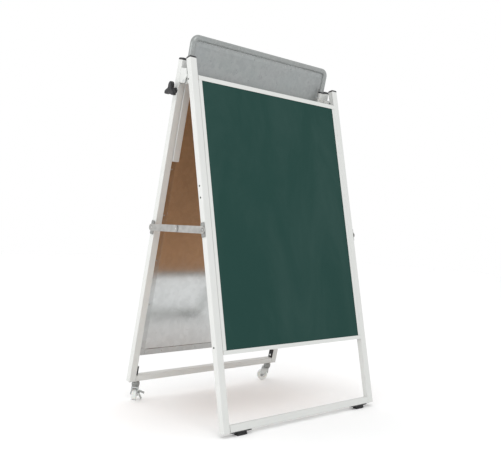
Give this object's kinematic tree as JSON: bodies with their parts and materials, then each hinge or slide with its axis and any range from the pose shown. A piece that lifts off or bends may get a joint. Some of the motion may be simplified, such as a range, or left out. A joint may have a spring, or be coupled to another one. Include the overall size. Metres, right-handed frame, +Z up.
{
  "type": "rolling a-frame writing board",
  "caption": "Folding A-frame board: chalk panel in front, white panel behind, braked swivel casters on the rear legs, and a header that raises.",
  "frame": {"origin": "middle of the footprint's bounding box, on the floor", "axes": "+Z up; the chalk panel faces -Y; +X is to the right as seen from the chalk panel"},
  "size_m": [0.7306, 0.5272, 1.1756],
  "materials": {
    "white_paint": "white powder coat, satin",
    "chalk_green": "matt dark green chalk paint",
    "hardboard": "brown hardboard",
    "white_enamel": "gloss white writing surface",
    "galvanised": "bright galvanised sheet and tube",
    "zinc_plate": "zinc plated steel",
    "black_plastic": "black moulded plastic",
    "black_rubber": "black rubber",
    "white_nylon": "pale nylon wheel",
    "caster_steel": "dull plated pressed steel"
  },
  "bodies": {
    "front_frame": {"front_left_post": "white_paint", "front_right_post": "white_paint", "front_top_rail": "white_paint", "front_bottom_rail": "white_paint", "front_foot_rail": "white_paint", "front_left_channel": "white_paint", "front_right_channel": "white_paint", "chalkboard_sheet": "chalk_green", "hardboard_backing": "hardboard", "front_left_cap": "black_plastic", "front_right_cap": "black_plastic", "left_foot_plate": "black_plastic", "right_foot_plate": "black_plastic", "left_foot_pad": "black_rubber", "right_foot_pad": "black_rubber", "front_left_hinge_lug": "white_paint", "front_right_hinge_lug": "white_paint", "left_hinge_pin": "caster_steel", "right_hinge_pin": "caster_steel", "left_front_stay_bracket": "zinc_plate", "right_front_stay_bracket": "zinc_plate"},
    "rear_frame": {"rear_left_post": "white_paint", "rear_right_post": "white_paint", "rear_top_rail": "white_paint", "rear_bottom_channel": "galvanised", "rear_foot_rail": "white_paint", "rear_left_channel": "galvanised", "rear_right_channel": "galvanised", "whiteboard_sheet": "white_enamel", "rear_backing_sheet": "galvanised", "rear_left_cap": "black_plastic", "rear_right_cap": "black_plastic", "rear_left_bumper": "black_rubber", "rear_right_bumper": "black_rubber", "rear_left_hinge_lug": "white_paint", "rear_right_hinge_lug": "white_paint", "left_header_sleeve": "white_paint", "right_header_sleeve": "white_paint", "left_sleeve_collar": "black_plastic", "right_sleeve_collar": "black_plastic", "left_rear_stay_bracket": "zinc_plate", "right_rear_stay_bracket": "zinc_plate", "left_caster_mount": "zinc_plate", "right_caster_mount": "zinc_plate"},
    "header": {"header_tube": "galvanised", "header_panel": "galvanised"},
    "left_knob": {"left_header_knob": "black_plastic"},
    "left_front_stay": {"left_front_stay_link": "zinc_plate"},
    "left_rear_stay": {"left_rear_stay_link": "zinc_plate"},
    "left_swivel": {"left_caster_fork": "caster_steel", "left_caster_axle": "zinc_plate"},
    "left_wheel": {"left_caster_wheel": "white_nylon"},
    "left_brake": {"left_brake_rocker": "zinc_plate"},
    "right_knob": {"right_header_knob": "black_plastic"},
    "right_front_stay": {"right_front_stay_link": "zinc_plate"},
    "right_rear_stay": {"right_rear_stay_link": "zinc_plate"},
    "right_swivel": {"right_caster_fork": "caster_steel", "right_caster_axle": "zinc_plate"},
    "right_wheel": {"right_caster_wheel": "white_nylon"},
    "right_brake": {"right_brake_rocker": "zinc_plate"}
  },
  "joints": [
    {"name": "frame_fold", "type": "hinge", "parent": "front_frame", "child": "rear_frame", "pos_m": [0, -0.0083, 1.02636], "axis": [1, 0, 0], "range_deg": [-23.6, 0]},
    {"name": "header_slide", "type": "slide", "parent": "rear_frame", "child": "header", "axis": [0, -0.2045, 0.9789], "range_m": [0, 0.18]},
    {"name": "left_knob_turn", "type": "hinge", "parent": "rear_frame", "child": "left_knob", "pos_m": [-0.338, 0.02791, 1.00021], "axis": [-1, 0, 0], "range_deg": [0, 720]},
    {"name": "left_front_stay_fold", "type": "hinge", "parent": "front_frame", "child": "left_front_stay", "pos_m": [-0.342, -0.13451, 0.57871], "axis": [1, 0, 0], "range_deg": [0, 63.52]},
    {"name": "left_rear_stay_fold", "type": "hinge", "parent": "left_front_stay", "child": "left_rear_stay", "pos_m": [-0.342, -0.0083, 0.57871], "axis": [1, 0, 0], "range_deg": [-150.64, 0]},
    {"name": "left_caster_swivel", "type": "hinge", "parent": "rear_frame", "child": "left_swivel", "pos_m": [-0.304, 0.22424, 0.06969], "axis": [0, -0.2045, 0.9789], "continuous": true},
    {"name": "left_wheel_spin", "type": "hinge", "parent": "left_swivel", "child": "left_wheel", "pos_m": [-0.29629, 0.24387, 0.02068], "axis": [0.766, -0.6292, -0.1314], "continuous": true},
    {"name": "left_brake_rock", "type": "hinge", "parent": "left_swivel", "child": "left_brake", "pos_m": [-0.29213, 0.22328, 0.02557], "axis": [0.6428, 0.7499, 0.1567], "range_deg": [0, 16]},
    {"name": "right_knob_turn", "type": "hinge", "parent": "rear_frame", "child": "right_knob", "pos_m": [0.338, 0.02791, 1.00021], "axis": [1, 0, 0], "range_deg": [0, 720]},
    {"name": "right_front_stay_fold", "type": "hinge", "parent": "front_frame", "child": "right_front_stay", "pos_m": [0.342, -0.13451, 0.57871], "axis": [1, 0, 0], "range_deg": [0, 63.52]},
    {"name": "right_rear_stay_fold", "type": "hinge", "parent": "right_front_stay", "child": "right_rear_stay", "pos_m": [0.342, -0.0083, 0.57871], "axis": [1, 0, 0], "range_deg": [-150.64, 0]},
    {"name": "right_caster_swivel", "type": "hinge", "parent": "rear_frame", "child": "right_swivel", "pos_m": [0.304, 0.22424, 0.06969], "axis": [0, -0.2045, 0.9789], "continuous": true},
    {"name": "right_wheel_spin", "type": "hinge", "parent": "right_swivel", "child": "right_wheel", "pos_m": [0.29629, 0.24387, 0.02068], "axis": [0.766, 0.6292, 0.1314], "continuous": true},
    {"name": "right_brake_rock", "type": "hinge", "parent": "right_swivel", "child": "right_brake", "pos_m": [0.31587, 0.24279, 0.02964], "axis": [-0.6428, 0.7499, 0.1567], "range_deg": [0, 16]}
  ],
  "couplings": [
    {"joint": "left_front_stay_fold", "follows": "frame_fold", "ratio": -2.6912},
    {"joint": "left_rear_stay_fold", "follows": "frame_fold", "ratio": 6.3824},
    {"joint": "right_front_stay_fold", "follows": "frame_fold", "ratio": -2.6912},
    {"joint": "right_rear_stay_fold", "follows": "frame_fold", "ratio": 6.3824}
  ]
}
